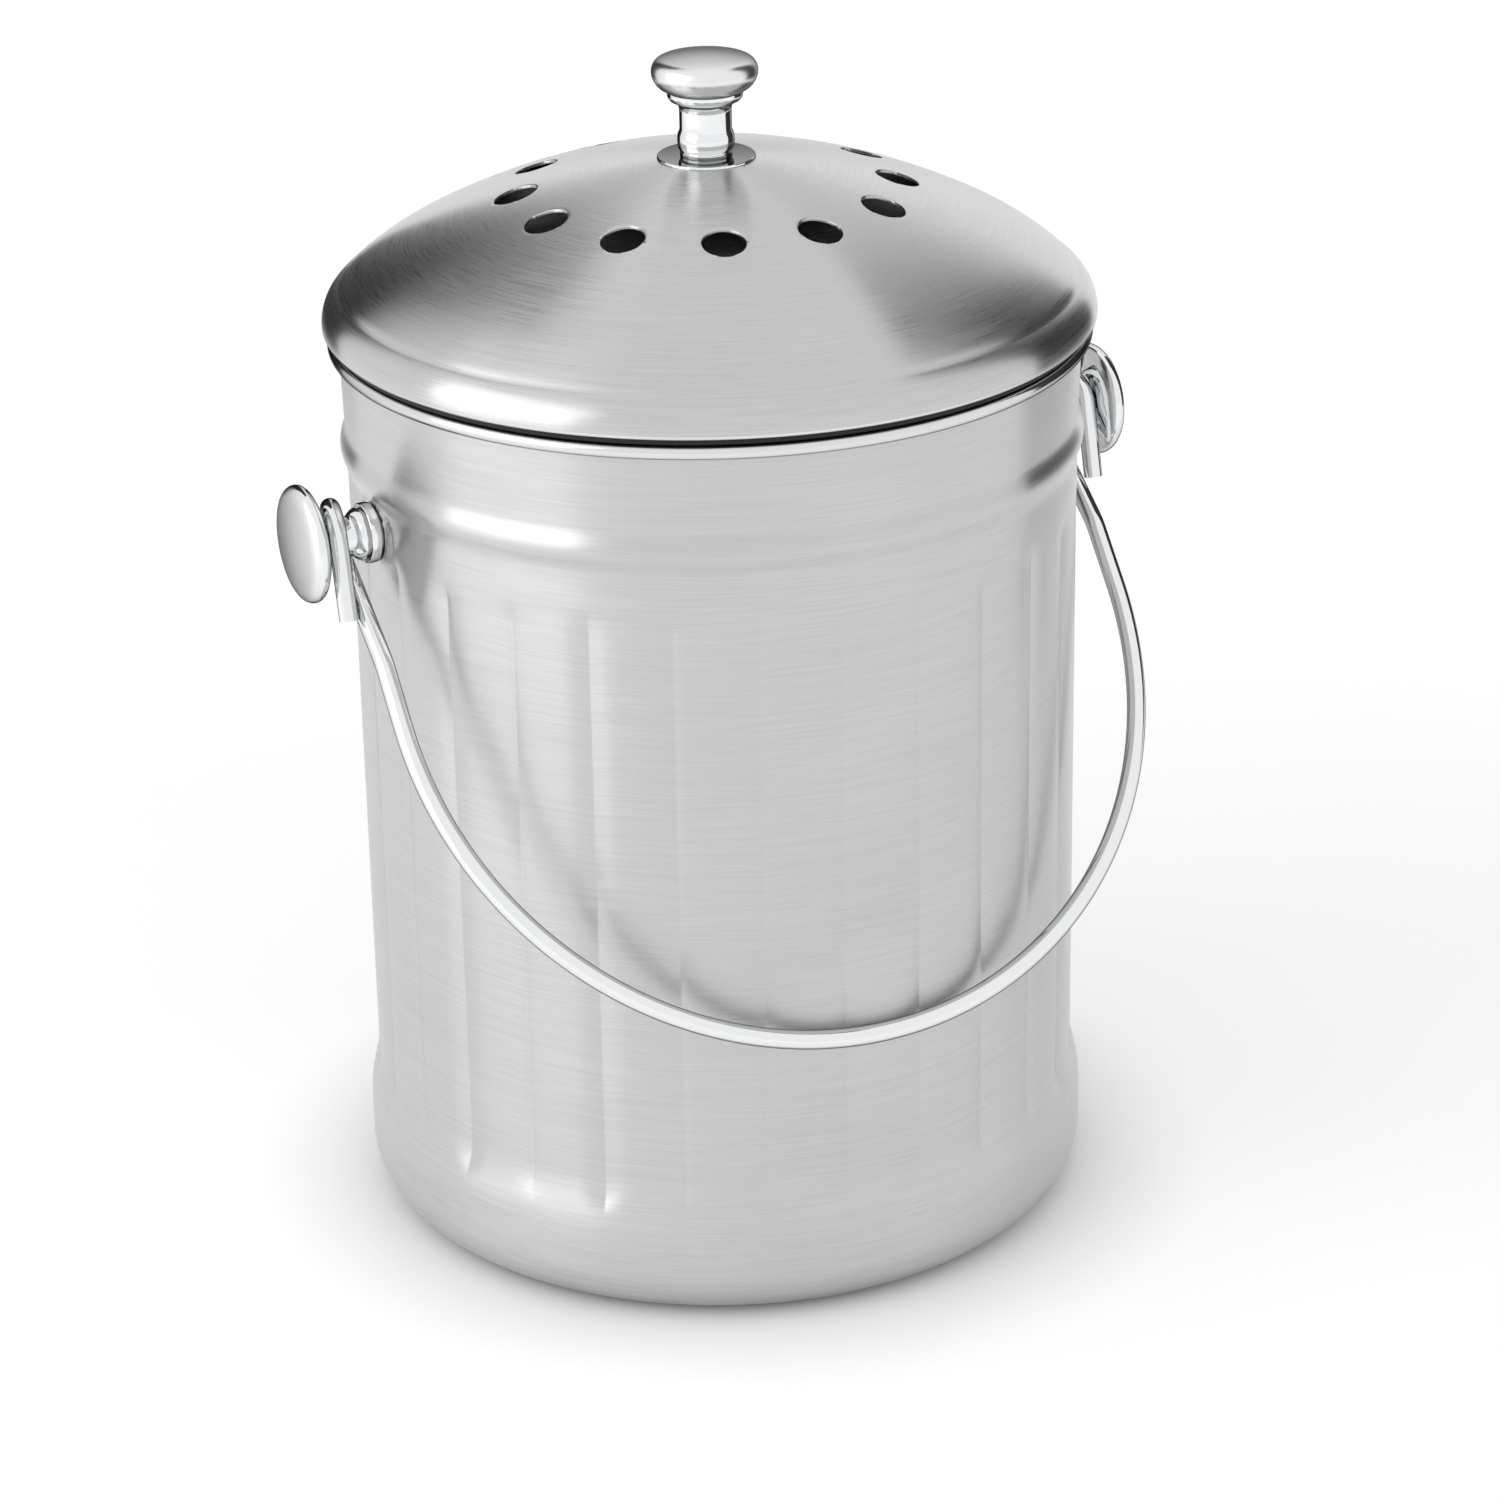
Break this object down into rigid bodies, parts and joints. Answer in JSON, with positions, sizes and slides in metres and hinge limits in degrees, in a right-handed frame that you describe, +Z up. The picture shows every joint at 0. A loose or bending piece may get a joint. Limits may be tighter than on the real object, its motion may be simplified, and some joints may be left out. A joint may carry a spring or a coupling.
{
  "type": "compost caddy",
  "caption": "Round fluted steel countertop compost caddy with a wire bail on side knobs, a domed vented lift-off lid with a knob, and a charcoal filter under it.",
  "frame": {"origin": "centre of the flat base, on the can's axis, in the plane the can stands on", "axes": "+Z up along the can's axis, the two side knobs on +X and -X, and the bail rests in front towards -Y"},
  "size_m": [0.2188, 0.1856, 0.2896],
  "materials": {
    "brushed_steel": "fine circumferential brush lines, satin",
    "chrome": "polished",
    "plain_steel": "bright zinc plate",
    "silicone": "matte",
    "holder_plastic": "fine moulded texture",
    "charcoal_felt": "felted"
  },
  "bodies": {
    "can": {"can_body": "brushed_steel", "left_knob": "chrome", "right_knob": "chrome", "left_spacer": "chrome", "right_spacer": "chrome", "left_screw": "plain_steel", "right_screw": "plain_steel", "left_washer": "plain_steel", "right_washer": "plain_steel"},
    "bail": {"bail_handle": "chrome"},
    "lid": {"lid_dome": "brushed_steel", "lid_skirt": "brushed_steel", "lid_gasket": "silicone", "lid_knob": "chrome", "lid_knob_spacer": "chrome", "lid_knob_disc": "chrome", "lid_screw": "plain_steel", "lid_washer": "plain_steel", "filter_ring": "holder_plastic"},
    "filter": {"filter_holder": "holder_plastic", "filter_pad": "charcoal_felt"}
  },
  "joints": [
    {"name": "bail_swing", "type": "hinge", "parent": "can", "child": "bail", "pos_m": [0, 0, 0.1862], "axis": [-1, 0, 0], "range_deg": [0, 281]},
    {"name": "lid_lift", "type": "slide", "parent": "can", "child": "lid", "axis": [0, 0, 1], "range_m": [0, 0.12]},
    {"name": "filter_twist", "type": "hinge", "parent": "lid", "child": "filter", "pos_m": [0, 0, 0.24], "axis": [0, 0, 1], "range_deg": [0, 30]}
  ]
}
